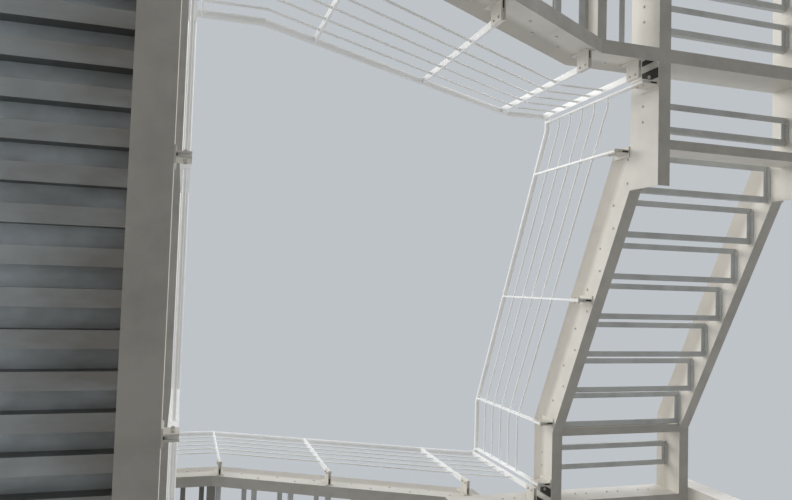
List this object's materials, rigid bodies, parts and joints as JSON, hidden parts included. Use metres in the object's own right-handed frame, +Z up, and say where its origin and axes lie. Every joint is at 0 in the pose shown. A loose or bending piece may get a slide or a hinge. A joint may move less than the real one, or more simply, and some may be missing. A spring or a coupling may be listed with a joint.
{
  "type": "fire escape stair tower",
  "caption": "Open steel fire escape stair tower: square stair round a well, channel stringers, open angle-frame treads, landings, columns and rod railings.",
  "frame": {"origin": "centre of the open well at ground level, under the middle of the base plates", "axes": "+Z up; +X from the long left landing across the well to the right flight; +Y from the rear flight to the front flight"},
  "size_m": [5.77, 6.01, 8.226],
  "materials": {
    "painted_steel": "satin off-white paint",
    "painted_floor": "satin grey-white paint"
  },
  "bodies": {
    "root": {"left_columns": "painted_steel", "rear_columns": "painted_steel", "front_columns": "painted_steel", "column_base_plates": "painted_steel", "flight_1_stringers": "painted_steel", "flight_2_stringers": "painted_steel", "flight_3_stringers": "painted_steel", "flight_4_stringers": "painted_steel", "flight_5_stringers": "painted_steel", "flight_6_stringers": "painted_steel", "flight_1_treads": "painted_floor", "flight_2_treads": "painted_floor", "flight_3_treads": "painted_floor", "flight_4_treads": "painted_floor", "flight_5_treads": "painted_floor", "flight_6_treads": "painted_floor", "rear_landing_1_main_beams": "painted_steel", "rear_landing_1_cross_beams": "painted_steel", "rear_landing_1_floor_frames": "painted_floor", "front_landing_1_main_beams": "painted_steel", "front_landing_1_cross_beams": "painted_steel", "front_landing_1_floor_frames": "painted_floor", "left_landing_1_side_beams": "painted_steel", "left_landing_1_cross_beams": "painted_steel", "left_landing_1_floor": "painted_floor", "rear_landing_2_main_beams": "painted_steel", "rear_landing_2_cross_beams": "painted_steel", "rear_landing_2_floor_frames": "painted_floor", "front_landing_2_main_beams": "painted_steel", "front_landing_2_cross_beams": "painted_steel", "front_landing_2_floor_frames": "painted_floor", "left_landing_2_side_beams": "painted_steel", "left_landing_2_cross_beams": "painted_steel", "left_landing_2_floor": "painted_floor", "railing_rear_1": "painted_steel", "railing_right_1": "painted_steel", "railing_front_1": "painted_steel", "railing_left_1": "painted_steel", "railing_rear_2": "painted_steel", "railing_right_2": "painted_steel", "railing_front_2": "painted_steel", "railing_left_2": "painted_steel", "post_brackets_1": "painted_steel", "post_brackets_2": "painted_steel"}
  },
  "joints": []
}
